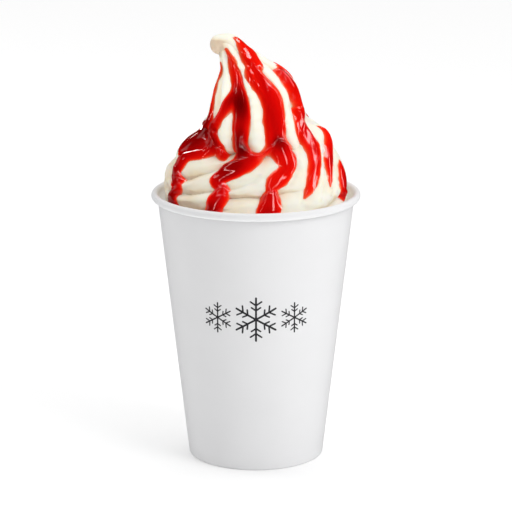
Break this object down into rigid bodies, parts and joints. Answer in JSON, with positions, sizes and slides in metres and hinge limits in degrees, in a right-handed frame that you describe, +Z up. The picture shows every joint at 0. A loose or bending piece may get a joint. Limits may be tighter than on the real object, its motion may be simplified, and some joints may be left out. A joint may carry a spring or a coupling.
{
  "type": "frozen yogurt cup",
  "caption": "Frozen yogurt cup: a tall white paper cup with a rolled rim, filled with a piped soft-serve swirl that ends in a hooked tip and is streaked with red sauce.",
  "frame": {"origin": "on the floor, on the axis of the cup, at the middle of its foot", "axes": "+Z up along the axis of the cup; -Y is the front, towards the viewer; +X is to the viewer's right; the tip of the swirl hooks towards -X"},
  "size_m": [0.09, 0.09, 0.1851],
  "materials": {
    "paper_board": "smooth white coated paper board, satin",
    "base_board": "white paper board, matt",
    "frozen_yogurt": "creamy soft-serve, moist, softly translucent",
    "fruit_sauce": "glossy translucent red fruit sauce"
  },
  "bodies": {
    "root": {"cup_wall": "paper_board", "cup_base": "base_board", "yogurt": "frozen_yogurt"}
  },
  "joints": []
}
